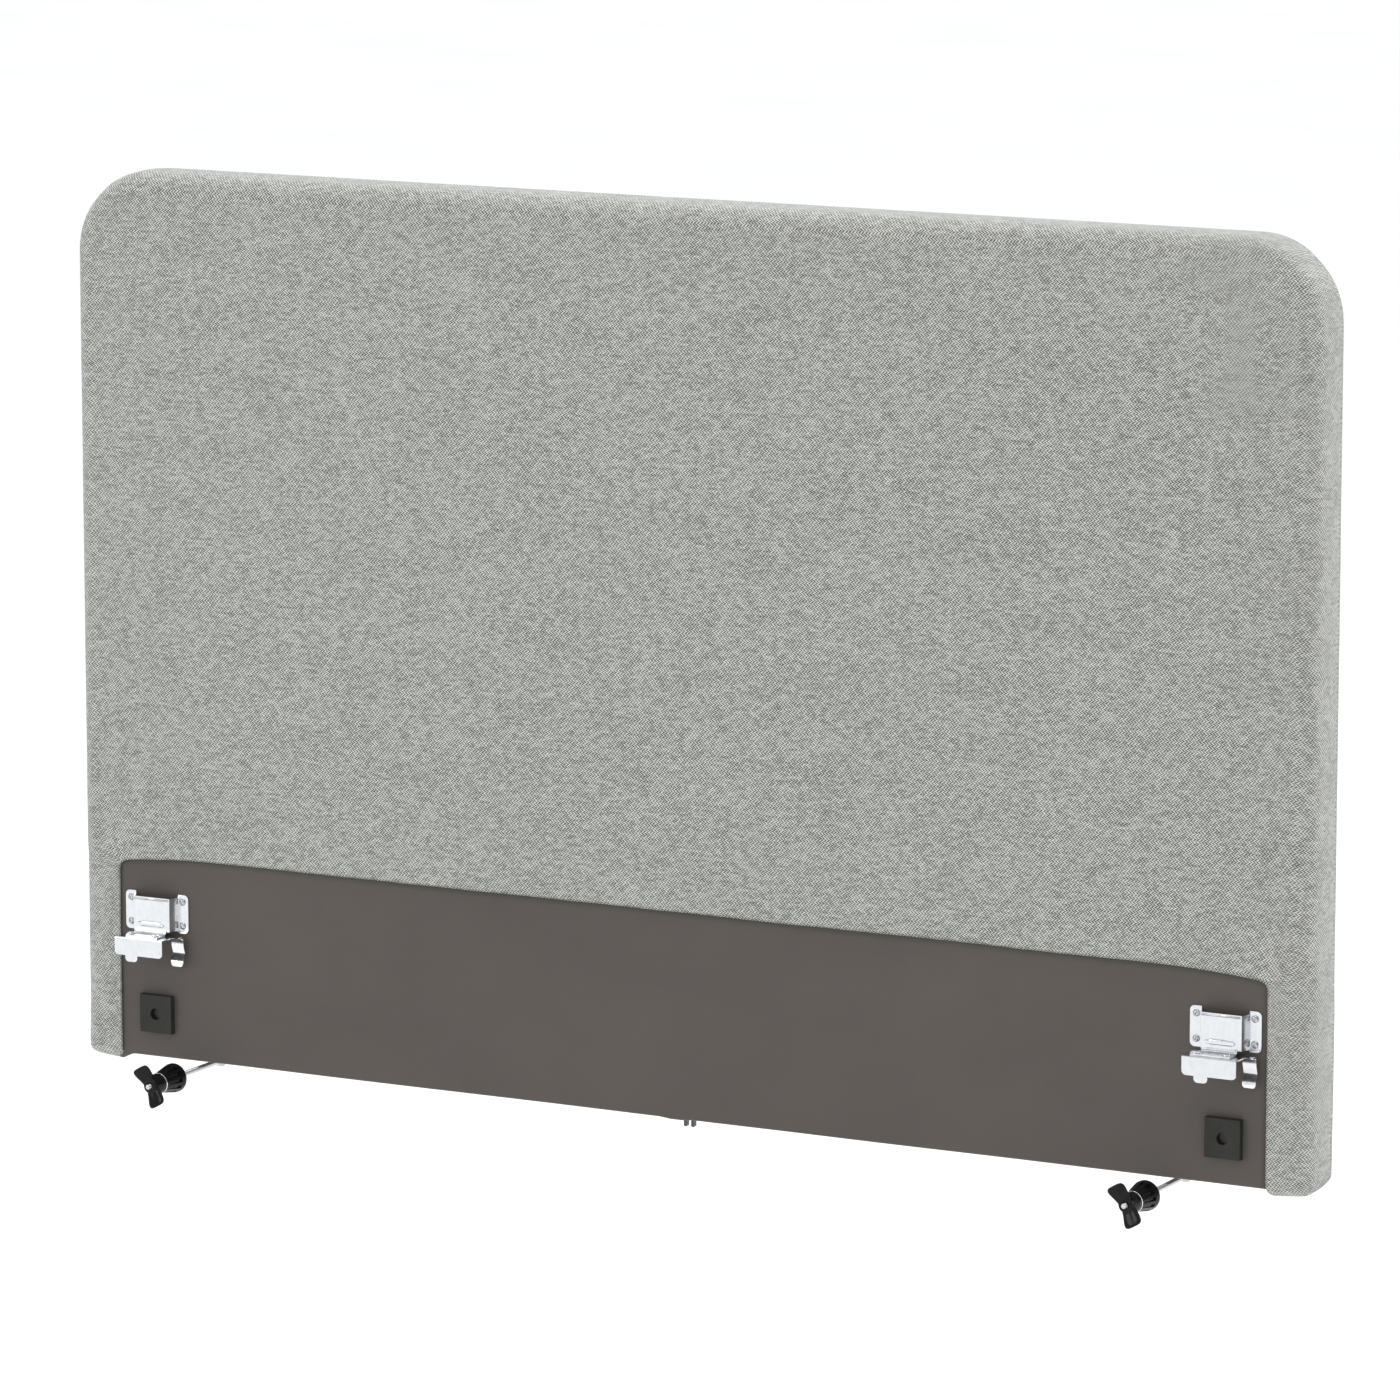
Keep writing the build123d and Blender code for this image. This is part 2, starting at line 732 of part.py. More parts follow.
def cone_pad_of(x):
    """Tapered clamp pad, big end towards the panel, with flutes that widen to the big end."""
    slope = math.atan2(cone_big_radius - cone_small_radius, cone_length)
    with BuildPart() as cone:
        with BuildSketch(Plane.XY):
            with BuildLine():
                Polyline(
                    (rod_radius + 0.3, 0),
                    (cone_small_radius, 0),
                    (cone_big_radius, cone_length - 4),
                    (cone_big_radius, cone_length),
                    (rod_radius + 0.3, cone_length),
                    close=True,
                )
            make_face()
        revolve(axis=Axis.Y)
        fillet(cone.edges().filter_by(GeomType.CIRCLE).sort_by(Axis.Y)[-1:], 0.4)
        rim = [e for e in cone.edges().filter_by(GeomType.CIRCLE) if abs(e.radius - cone_big_radius) < 0.01]
        fillet(rim, 1.8)
        flute_start = 3.5
        flute_end = cone_length - 8.5
        for index in range(flute_count):
            turn = 360 / flute_count * index
            for step, reach in ((flute_start, 1.1), (flute_end, 2.3)):
                radius = cone_small_radius + step * math.tan(slope) + 0.4
                centre = Vector(radius, step, 0).rotate(Axis.Y, turn)
                with BuildSketch(Plane(origin=centre, z_dir=(0, 1, 0))):
                    Circle(reach)
            loft(mode=Mode.SUBTRACT)
    return cone.part.moved(Location((x, cone_front, rod_z)))


def thrust_washer_of(x):
    """Bright ring between the wing nut and the cone."""
    with BuildPart() as washer:
        with BuildSketch(front_plane(washer_back)):
            with Locations((x, rod_z)):
                Circle(washer_radius)
                Circle(rod_radius + 0.3, mode=Mode.SUBTRACT)
        extrude(amount=washer_thickness)
        outer_edges = [e for e in washer.edges() if e.geom_type == GeomType.CIRCLE and e.radius > 10]
        fillet(outer_edges, 0.4)
    return washer.part


def wing_nut_of(x):
    """Two scooped lobes on a slightly tapered hub, bored for the threaded insert."""
    lobe_reach = (wing_span - wing_width) / 2
    lobe_thickness = 7.5
    with BuildPart() as wing:
        with BuildSketch(front_plane(lobe_thickness)):
            SlotCenterToCenter(2 * lobe_reach, wing_width, rotation=90 + wing_lean)
        extrude(amount=lobe_thickness)
        fillet(wing.faces().sort_by(Axis.Y)[-1].edges(), 2.5)
        fillet(wing.faces().sort_by(Axis.Y)[0].edges(), 0.8)
        with BuildSketch(Plane.XY):
            with BuildLine():
                Polyline(
                    (0, 2),
                    (8.6, 2),
                    (9.6, 7),
                    (11.3, hub_length - 1),
                    (11.3, hub_length),
                    (0, hub_length),
                    close=True,
                )
            make_face()
        revolve(axis=Axis.Y)
        lean = math.radians(wing_lean)
        for side in (-1, 1):
            lobe_x = -side * (lobe_reach - 1) * math.sin(lean)
            lobe_z = side * (lobe_reach - 1) * math.cos(lean)
            with Locations((lobe_x, -10.5, lobe_z)):
                Sphere(14, mode=Mode.SUBTRACT)
        with Locations((0, -3, 0)):
            Sphere(6.2, mode=Mode.SUBTRACT)
        with BuildSketch(front_plane(hub_length)):
            Circle(insert_radius)
        extrude(amount=insert_length, mode=Mode.SUBTRACT)
        with BuildSketch(front_plane(hub_length)):
            Circle(rod_radius + 0.25)
        extrude(amount=hub_length + 2, mode=Mode.SUBTRACT)
    return wing.part.moved(Location((x, wing_front, rod_z)))


def nut_insert_of(x):
    """Threaded sleeve moulded into the wing nut's hub."""
    with BuildPart() as sleeve:
        with BuildSketch(front_plane(hub_back)):
            with Locations((x, rod_z)):
                Circle(insert_radius)
                Circle(rod_radius + running_gap, mode=Mode.SUBTRACT)
        extrude(amount=insert_length)
    return sleeve.part


for side, x in bracket_places.items():
    save(bracket_of(x), f"{side}_bracket")
    save(hook_plate_of(x), f"{side}_hook_plate")
    save(hook_rivets_of(x), f"{side}_hook_rivets")
    save(spring_finger_of(x), f"{side}_spring_finger")
    save(buffer_pad_of(x), f"{side}_buffer_pad")
    bracket_screws = Compound(
        children=[
            cross_screw(x + sign * flange_pitch / 2, z, -sheet, 16)
            for sign in (-1, 1)
            for z in (screw_low, screw_high)
        ]
    )
    save(bracket_screws, f"{side}_bracket_screws")

for side, x in clamp_places.items():
    save(rod_anchor_of(x), f"{side}_rod_anchor")
    save(clamp_rod_of(x), f"{side}_clamp_rod")
    save(rod_nuts_of(x), f"{side}_rod_nuts")
    anchor_screw = cross_screw(0, 0, 0, 26)
    anchor_screws = Compound(
        children=[
            anchor_screw.moved(Location((x + dx, anchor_front + anchor_thickness, anchor_top - 10), (0, 0, 180)))
            for dx in (-7, 7)
        ]
    )
    save(anchor_screws, f"{side}_anchor_screws")
    save(cone_pad_of(x), f"{side}_cone_pad")
    save(thrust_washer_of(x), f"{side}_thrust_washer")
    save(wing_nut_of(x), f"{side}_wing_nut")
    save(nut_insert_of(x), f"{side}_nut_insert")
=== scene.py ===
import json
import math

import bpy
import numpy as np
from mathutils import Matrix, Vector, noise


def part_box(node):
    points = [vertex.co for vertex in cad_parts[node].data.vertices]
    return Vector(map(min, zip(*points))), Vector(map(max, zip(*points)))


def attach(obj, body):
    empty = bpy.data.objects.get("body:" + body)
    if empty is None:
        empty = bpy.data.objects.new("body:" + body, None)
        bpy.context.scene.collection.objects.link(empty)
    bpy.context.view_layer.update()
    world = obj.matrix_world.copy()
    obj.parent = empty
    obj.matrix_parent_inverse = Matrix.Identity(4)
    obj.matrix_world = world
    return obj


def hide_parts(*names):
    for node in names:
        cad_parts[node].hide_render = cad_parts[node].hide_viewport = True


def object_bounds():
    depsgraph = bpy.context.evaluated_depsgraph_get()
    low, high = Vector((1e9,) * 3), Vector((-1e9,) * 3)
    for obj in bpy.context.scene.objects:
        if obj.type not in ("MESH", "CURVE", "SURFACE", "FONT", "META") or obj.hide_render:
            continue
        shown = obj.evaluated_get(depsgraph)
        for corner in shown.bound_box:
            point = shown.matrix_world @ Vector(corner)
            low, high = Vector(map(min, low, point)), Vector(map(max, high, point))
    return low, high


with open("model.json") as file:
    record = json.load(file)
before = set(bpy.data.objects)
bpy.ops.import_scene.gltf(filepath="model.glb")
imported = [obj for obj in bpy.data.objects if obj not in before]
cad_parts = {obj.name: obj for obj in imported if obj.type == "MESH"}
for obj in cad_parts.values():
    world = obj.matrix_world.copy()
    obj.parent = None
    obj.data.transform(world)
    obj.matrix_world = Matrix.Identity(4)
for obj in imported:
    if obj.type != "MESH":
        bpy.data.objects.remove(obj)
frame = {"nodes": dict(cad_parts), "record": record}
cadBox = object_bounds()
nodes = frame["nodes"]
mm = 0.001
print("frame loaded,", len(nodes), "parts")


class Wire:  # an output socket; arithmetic on it adds Math nodes
    def __init__(self, finish, socket):
        self.finish = finish
        self.socket = socket

    def __add__(self, other):
        return self.finish.maths("ADD", self, other)

    def __sub__(self, other):
        return self.finish.maths("SUBTRACT", self, other)

    def __mul__(self, other):
        return self.finish.maths("MULTIPLY", self, other)

    def __truediv__(self, other):
        return self.finish.maths("DIVIDE", self, other)

    def __rsub__(self, other):
        return self.finish.maths("SUBTRACT", other, self)

    def __rtruediv__(self, other):
        return self.finish.maths("DIVIDE", other, self)

    __radd__ = __add__
    __rmul__ = __mul__


class Finish:  # the node tree of a material or world, built round its one shader
    def __init__(self, owner, shader="Principled BSDF", **sockets):
        owner.use_nodes = True
        self.owner = owner
        self.tree = owner.node_tree
        self.shader = self.tree.nodes[shader]
        for key, value in sockets.items():
            self.set(key, value)

    def feed(self, socket, value):
        if isinstance(value, Wire):
            self.tree.links.new(value.socket, socket)
        else:
            socket.default_value = value

    def set(self, key, value):
        self.feed(self.shader.inputs[key], value)

    def node(self, kind, settings, sockets, output=0):
        made = self.tree.nodes.new(kind)
        for key, value in settings.items():
            if key == "stops":
                ramp = made.color_ramp
                while len(ramp.elements) < len(value):
                    ramp.elements.new(0.5)
                for element, (place, colour) in zip(ramp.elements, value):
                    element.position = place
                    element.color = (*colour, 1)
            else:
                setattr(made, key, value)
        for key, value in sockets.items():
            self.feed(made.inputs[key], value)
        return Wire(self, made.outputs[output])

    def maths(self, operation, *values):
        return self.node("ShaderNodeMath", {"operation": operation}, dict(enumerate(values)))

    def clamp(self, value):
        return self.node("ShaderNodeClamp", {}, {0: value})

    def ramp(self, factor, *stops):
        return self.node("ShaderNodeValToRGB", {"stops": stops}, {0: factor})

    def place(self):  # position on the piece itself, in metres
        return self.node("ShaderNodeTexCoord", {}, {}, "Object")

    def stretch(self, place, scale):
        return self.node("ShaderNodeMapping", {}, {"Vector": place, "Scale": scale})

    def split(self, vector):
        made = self.node("ShaderNodeSeparateXYZ", {}, {0: vector}).socket.node
        return [Wire(self, socket) for socket in made.outputs]

    def noise(self, place, scale, detail=2.0, roughness=0.5, dimensions="3D"):
        sockets = {"Vector": place, "Scale": scale, "Detail": detail, "Roughness": roughness}
        return self.node("ShaderNodeTexNoise", {"noise_dimensions": dimensions}, sockets)

    def bump(self, height, distance, strength):
        sockets = {"Height": height, "Distance": distance, "Strength": strength}
        self.set("Normal", self.node("ShaderNodeBump", {}, sockets))


def melangeWeave():
    look = {
        "stroke": 3.93 * mm,  # spacing of the slanted strokes along a row
        "row": 2.52 * mm,  # height of one row; the next one slants the other way
        "slant": 2.95 * mm,  # how far a stroke leans over one row
        "dark": (0.068, 0.076, 0.066),
        "middle": (0.318, 0.328, 0.302),
        "light": (0.690, 0.700, 0.660),
    }
    cloth = Finish(bpy.data.materials.new("melangeWeave"), Roughness=0.92)
    cloth.set("Sheen Weight", 0.25)
    cloth.set("Sheen Roughness", 0.6)
    cloth.set("Specular IOR Level", 0.2)
    lay = cloth.node("ShaderNodeUVMap", {"uv_map": "clothLay"}, {})
    along, up, _ = cloth.split(lay)
    along = along + (cloth.noise(lay, 90.0, 2.0, dimensions="2D") - 0.5) * (1.6 * mm)
    up = up + (cloth.noise(lay, 70.0, 1.0, dimensions="2D") - 0.5) * (0.9 * mm)
    lean = cloth.maths("PINGPONG", up, look["row"]) * (look["slant"] / look["row"])
    rowIndex = cloth.maths("FLOOR", up / look["row"])
    phase = (along + lean) / look["stroke"] + rowIndex * 0.5  # each row starts half a stroke over
    relief = cloth.maths("SINE", phase * math.tau) * 0.5 + 0.5
    stitchCell = cloth.node(
        "ShaderNodeCombineXYZ",
        {},
        {0: cloth.maths("FLOOR", phase + 0.25), 1: rowIndex},
    )
    stitch = cloth.node("ShaderNodeTexWhiteNoise", {"noise_dimensions": "2D"}, {"Vector": stitchCell})
    slub = cloth.noise(cloth.stretch(lay, (55, 330, 1)), 1.0, 2.0, 0.55, "2D")
    patch = cloth.noise(cloth.stretch(lay, (9, 26, 1)), 1.0, 3.0, 0.6, "2D")
    fibre = cloth.noise(lay, 1500.0, 2.0, 0.6, "2D")
    tone = (relief - 0.5) * 1.15 + (stitch - 0.5) * 0.45 + (slub - 0.5) * 0.5
    tone = tone + (patch - 0.5) * 0.16
    tone = cloth.clamp(tone + (fibre - 0.5) * 0.16 + 0.5)
    colour = cloth.ramp(tone, (0.08, look["dark"]), (0.5, look["middle"]), (0.94, look["light"]))
    cloth.set("Base Color", colour)
    cloth.bump(relief + fibre * 0.35 + slub * 0.5, 0.55 * mm, 0.8)
    return cloth.owner


def liningCloth():
    cloth = Finish(bpy.data.materials.new("liningCloth"), Roughness=0.85)
    cloth.set("Sheen Weight", 0.3)
    cloth.set("Sheen Roughness", 0.45)
    cloth.set("Specular IOR Level", 0.25)
    place = cloth.place()
    across, _, up = cloth.split(place)
    thread = 0.9 * mm
    warp = cloth.maths("SINE", across * (math.tau / thread))
    weft = cloth.maths("SINE", up * (math.tau / thread))
    grid = warp * weft * 0.5 + 0.5
    cloudy = cloth.noise(cloth.stretch(place, (5, 5, 9)), 1.0, 4.0, 0.6)
    fluff = cloth.noise(place, 900.0, 2.0, 0.6)
    tone = cloth.clamp(grid * 0.25 + cloudy * 0.55 + fluff * 0.2)
    dark = (0.080, 0.070, 0.063)
    light = (0.117, 0.103, 0.093)
    cloth.set("Base Color", cloth.ramp(tone, (0.15, dark), (0.85, light)))
    cloth.bump(grid * 0.5 + fluff, 0.12 * mm, 0.6)
    return cloth.owner


def brightMetal(name, colour, roughness, streak=(900, 40, 40)):
    metal = Finish(bpy.data.materials.new(name), Metallic=1.0)
    place = metal.place()
    grain = metal.noise(metal.stretch(place, streak), 1.0, 3.0, 0.6)
    mottle = metal.noise(place, 140.0, 3.0, 0.6)
    shade = tuple(channel * 0.86 for channel in colour)
    metal.set("Base Color", metal.ramp(mottle * 0.6 + grain * 0.4, (0.3, shade), (0.62, colour)))
    metal.set("Roughness", metal.clamp(roughness + (grain - 0.5) * 0.16 + (mottle - 0.5) * 0.12))
    metal.bump(grain * 0.4 + mottle, 0.025 * mm, 0.4)
    return metal.owner


def blackGloss():
    plastic = Finish(bpy.data.materials.new("blackGloss"))
    plastic.set("Specular IOR Level", 0.16)
    place = plastic.place()
    flow = plastic.noise(place, 90.0, 2.0, 0.5)
    scuff = plastic.noise(place, 1400.0, 2.0, 0.7)
    dark, light = (0.006, 0.006, 0.006), (0.012, 0.012, 0.011)
    plastic.set("Base Color", plastic.ramp(flow, (0.35, dark), (0.7, light)))
    plastic.set("Roughness", plastic.clamp(0.16 + (flow - 0.5) * 0.12 + (scuff - 0.5) * 0.1))
    plastic.bump(flow + scuff * 0.12, 0.06 * mm, 0.5)
    return plastic.owner


def padRubber():
    rubber = Finish(bpy.data.materials.new("padRubber"))
    rubber.set("Specular IOR Level", 0.3)
    place = rubber.place()
    bloom = rubber.noise(place, 60.0, 4.0, 0.6)
    grain = rubber.noise(place, 2200.0, 2.0, 0.6)
    dark, light = (0.018, 0.019, 0.016), (0.032, 0.033, 0.029)
    rubber.set("Base Color", rubber.ramp(bloom, (0.3, dark), (0.75, light)))
    rubber.set("Roughness", rubber.clamp(0.62 + (bloom - 0.5) * 0.2))
    rubber.bump(grain, 0.08 * mm, 0.5)
    return rubber.owner


def sawnWood(name, early, late, stretch):
    wood = Finish(bpy.data.materials.new(name), Roughness=0.75)
    place = wood.place()
    warp = wood.noise(wood.stretch(place, stretch), 1.0, 3.0, 0.5)
    rings = wood.maths("SINE", warp * 42.0) * 0.5 + 0.5
    pore = wood.noise(wood.stretch(place, tuple(s * 18 for s in stretch)), 1.0, 2.0, 0.6)
    tone = wood.clamp(rings * 0.6 + pore * 0.5 - 0.05)
    wood.set("Base Color", wood.ramp(tone, (0.1, early), (0.9, late)))
    wood.bump(rings * 0.3 + pore, 0.2 * mm, 0.5)
    return wood.owner


def fibreBoard():
    board = Finish(bpy.data.materials.new("fibreBoard"), Roughness=0.6)
    place = board.place()
    fleck = board.noise(place, 700.0, 3.0, 0.7)
    cloud = board.noise(place, 12.0, 3.0, 0.5)
    tone = board.clamp(fleck * 0.6 + cloud * 0.4)
    dark, light = (0.10, 0.055, 0.03), (0.21, 0.13, 0.075)
    board.set("Base Color", board.ramp(tone, (0.2, dark), (0.8, light)))
    board.bump(fleck, 0.08 * mm, 0.4)
    return board.owner


def tapeWeave():
    tape = Finish(bpy.data.materials.new("tapeWeave"), Roughness=0.85)
    place = tape.place()
    along, deep, _ = tape.split(place)
    ribs = tape.maths("SINE", along * (math.tau / (0.8 * mm))) * 0.5 + 0.5
    cross = tape.maths("SINE", deep * (math.tau / (1.1 * mm))) * 0.5 + 0.5
    tone = tape.clamp(ribs * 0.5 + cross * 0.3 + tape.noise(place, 500.0) * 0.2)
    dark, light = (0.015, 0.015, 0.015), (0.04, 0.04, 0.039)
    tape.set("Base Color", tape.ramp(tone, (0.1, dark), (0.9, light)))
    tape.bump(ribs + cross * 0.5, 0.12 * mm, 0.6)
    return tape.owner


finishes = {
    "cover_fabric": melangeWeave(),
    "lining_fabric": liningCloth(),
    "zinc_sheet": brightMetal("zincSheet", (0.70, 0.715, 0.735), 0.18),
    "spring_steel": brightMetal("springSteel", (0.84, 0.85, 0.87), 0.2, (60, 60, 700)),
    "bright_steel": brightMetal("washerSteel", (0.9, 0.9, 0.91), 0.14, (200, 200, 200)),
    "screw_steel": brightMetal("screwSteel", (0.52, 0.53, 0.54), 0.2, (300, 300, 300)),
    "rod_steel": brightMetal("rodSteel", (0.62, 0.63, 0.64), 0.32, (300, 60, 300)),
    "brass": brightMetal("turnedBrass", (0.82, 0.63, 0.3), 0.25, (300, 60, 300)),
    "black_plastic": blackGloss(),
    "rubber": padRubber(),
    "timber": sawnWood("sawnTimber", (0.52, 0.34, 0.18), (0.76, 0.60, 0.40), (3, 30, 30)),
    "plywood": sawnWood("plywoodFace", (0.50, 0.35, 0.20), (0.70, 0.54, 0.36), (2, 20, 14)),
    "hardboard": fibreBoard(),
    "zip_tape": tapeWeave(),
    "zip_chain": blackGloss(),
    "zip_metal": brightMetal("blackenedZip", (0.10, 0.10, 0.10), 0.35, (200, 200, 200)),
}
for part in frame["record"]["subparts"]:
    surface = finishes.get(part["material_slot"])
    if surface:
        mesh = nodes[part["node"]].data
        mesh.materials.clear()
        mesh.materials.append(surface)
print("finishes made")


def newPiece(name, points, faces, surface, body="panel", smooth=True):
    mesh = bpy.data.meshes.new(name)
    mesh.from_pydata([tuple(p) for p in points], [], [tuple(f) for f in faces])
    mesh.validate()
    piece = bpy.data.objects.new(name, mesh)
    bpy.context.scene.collection.objects.link(piece)
    mesh.materials.append(surface)
    mesh.polygons.foreach_set("use_smooth", [smooth] * len(mesh.polygons))
    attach(piece, body)
    return piece


def ripple(x, z, size, seed):  # smooth seeded unevenness between about -1 and 1
    return noise.noise(Vector((x / size, z / size, seed)))


coverLow, coverHigh = (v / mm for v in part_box("fabric_cover"))
liningLow, liningHigh = (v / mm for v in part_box("lower_lining"))
cover = {
    "frontRadius": 18.0,
    "backRadius": 13.0,
    "topCorner": 90.0,
    "skirtCorner": 12.0,
    "windowHalfWidth": 705.0,
    "windowTop": liningHigh.z + 0.5,
    "windowBow": 8.0,
    "bowLength": 125.0,
    "hemFront": 43.0,  # where the hem under the panel begins, going back
    "spacing": 13.0,
    "cornerCut": 2.6,  # rounds the window's upper corners
    "skirtRise": 4.5,  # how far the bottom edge climbs from the window to the side
    "backRise": 6.0,  # and from the front to the back
    "slotHalf": 14.0,
    "innerCorner": 9.0,  # the skirt's rounded inner corner
    "innerReach": 14.0,  # and how far into the skirt it is felt
    "raisedFrom": 45.0,  # rows from this far above the lining's edge are drawn up towards it
    "foldIn": 4.9,  # that raised edge stops short of the window's sides
    "crown": 1.6,
    "crownReach": 260.0,
    "topWave": 1.1,
    "unevenness": 0.5,
    "belly": 0.9,  # swell of the side strip
    "seamTuck": 1.1,  # and how deep its back seam is pulled in
    "easeAbove": 70.0,  # rows go back to straight this far from the window's top
    "easeBeside": 40.0,
    "edgeSteps": 6,
    "columnStep": 5.6,
    "rowStep": 9.0,
}
halfWidth = coverHigh.x
clampXs = [sum(v.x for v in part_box(f"{side}_rod_anchor")) / 2 / mm for side in ("left", "right")]
frontY, backY = coverLow.y, coverHigh.y
topZ, skirtZ = coverHigh.z, coverLow.z
liningZ = liningLow.z


def spaced(start, end, step):
    count = max(1, round(abs(end - start) / step))
    return [start + (end - start) * i / count for i in range(count)]


def roundedSteps(radius, count):  # distances in from the outline over the rounded edge
    return [radius * (1 - math.cos(math.pi / 2 * i / count)) for i in range(count)]


def windowTopAt(x):
    reach = max(0.0, abs(x) - (cover["windowHalfWidth"] - cover["bowLength"])) / cover["bowLength"]
    wave = ripple(x, 0, 95, 3.1) * 0.6 + ripple(x, 0, 300, 7.7)
    return cover["windowTop"] - cover["windowBow"] * min(reach, 1.0) ** 1.6 + wave * cover["topWave"]


window = cover["windowHalfWidth"]
borderWidth = halfWidth - window
edgeSteps = roundedSteps(cover["frontRadius"], cover["edgeSteps"]) + [18, 22]
sideSteps = edgeSteps + spaced(27, borderWidth, cover["columnStep"])
sideSteps += [borderWidth, borderWidth + 5, borderWidth + 11]
midColumn = halfWidth - sideSteps[-1] - 9
columnXs = [-halfWidth + d for d in sideSteps]
columnXs += spaced(-midColumn, midColumn, cover["spacing"]) + [midColumn]
columnXs += [halfWidth - d for d in reversed(sideSteps)]
topSteps = edgeSteps + spaced(27, cover["topCorner"], cover["rowStep"]) + [cover["topCorner"]]
skirtSteps = edgeSteps + [28]
rowZs = [topZ - d for d in topSteps]
rowZs += spaced(topZ - cover["topCorner"] - 12, cover["windowTop"] + 30, cover["spacing"])
rowZs += [cover["windowTop"] + d for d in (30, 20, 12, 6, 0, -3, -8, -14)]
rowZs += spaced(cover["windowTop"] - 24, skirtZ + 36, cover["spacing"]) + [skirtZ + 36]
rowZs += [skirtZ + d for d in reversed(skirtSteps)]
columnCount, rowCount = len(columnXs), len(rowZs)


# bends the square grid round the corners: gives a point, the way out and how far in it lies
def onOutline(x, z):
    radius = cover["topCorner"] if z > 0 else cover["skirtCorner"]
    centreZ = topZ - radius if z > 0 else skirtZ + radius
    acrossX = (abs(x) - (halfWidth - radius)) / radius
    acrossZ = (z - centreZ) / radius * (1 if z > 0 else -1)
    signX = math.copysign(1, x)
    signZ = 1 if z > 0 else -1
    if acrossX > 0 and acrossZ > 0:
        reach = max(acrossX, acrossZ)
        if acrossX >= acrossZ:
            angle = math.pi / 4 * acrossZ / acrossX
        else:
            angle = math.pi / 2 - math.pi / 4 * acrossX / acrossZ
        out = (signX * math.cos(angle), signZ * math.sin(angle))
        centreX = signX * (halfWidth - radius)
        place = (centreX + out[0] * reach * radius, centreZ + out[1] * reach * radius)
        return place, out, radius * (1 - reach)
    toSide = halfWidth - abs(x)
    toEnd = topZ - z if z > 0 else z - skirtZ
    if toSide <= toEnd:
        return (x, z), (signX, 0), toSide
    return (x, z), (0, signZ), toEnd


def coverPoint(column, row, front):
    x, z = columnXs[column], rowZs[row]
    (px, pz), out, inward = onOutline(x, z)
    radius = cover["frontRadius"] if front else cover["backRadius"]
    rise = max(0.0, radius - inward)
    depth = radius - math.sqrt(max(0.0, radius**2 - rise**2))
    middle = min(1.0, inward / cover["crownReach"])
    crown = cover["crown"] * math.sin(math.pi / 2 * middle)
    crown += cover["unevenness"] * ripple(px, pz, 140, 1.5)
    py = frontY + depth - crown * 0.5 if front else backY - depth + crown
    turned = rise and radius * math.asin(rise / radius) - rise
    lay = (px + out[0] * turned, pz + out[1] * turned)
    # the window's top follows its bowed line, and the rows above and below ease back to straight
    if front and abs(px) < window + cover["easeBeside"] and inward > 30:
        level = cover["windowTop"]
        ease = max(0.0, 1 - abs(pz - level) / cover["easeAbove"])
        sideEase = min(1.0, (window + cover["easeBeside"] - abs(px)) / cover["easeBeside"])
        pz += (windowTopAt(px) - level) * ease * ease * sideEase
        offX, offZ = abs(x) - window, z - level
        cut = cover["cornerCut"] * math.exp(-(offX**2 + offZ**2) / 32)
        px -= math.copysign(cut, px)
        pz -= cut
        pz += 0.45 * ripple(px, pz, 17, 4.4) * max(0.0, 1 - abs(offZ) / 12)
    raisedZ = liningZ + cover["raisedFrom"]
    innerReach = cover["innerReach"]
    if abs(x) <= window - cover["foldIn"] and pz < raisedZ:
        share = min(1.0, (raisedZ - pz) / (raisedZ - skirtZ))
        pz += (liningZ - skirtZ) * share
    elif front and abs(x) < window + innerReach and pz < liningZ + 1:
        drop = min(1.0, (liningZ + 1 - pz) / (liningZ + 1 - skirtZ))
        cut = cover["innerCorner"] * (1 - math.sqrt(1 - drop**2))
        px += math.copysign(cut, px) * (1 - (abs(x) - window) / innerReach)
    pz += skirtLift(px, pz, py)
    return (px, py, pz), lay, out


def skirtLift(x, z, y):
    near = max(0.0, 1 - (z - skirtZ) / 45)
    outward = max(0.0, (abs(x) - window) / borderWidth)
    climb = cover["skirtRise"] * outward**1.4
    onSkirt = min(1.0, max(0.0, (abs(x) - window + 5) / 5))
    return near * (climb + cover["backRise"] * onSkirt * max(0.0, y - 10) / (backY - 10))


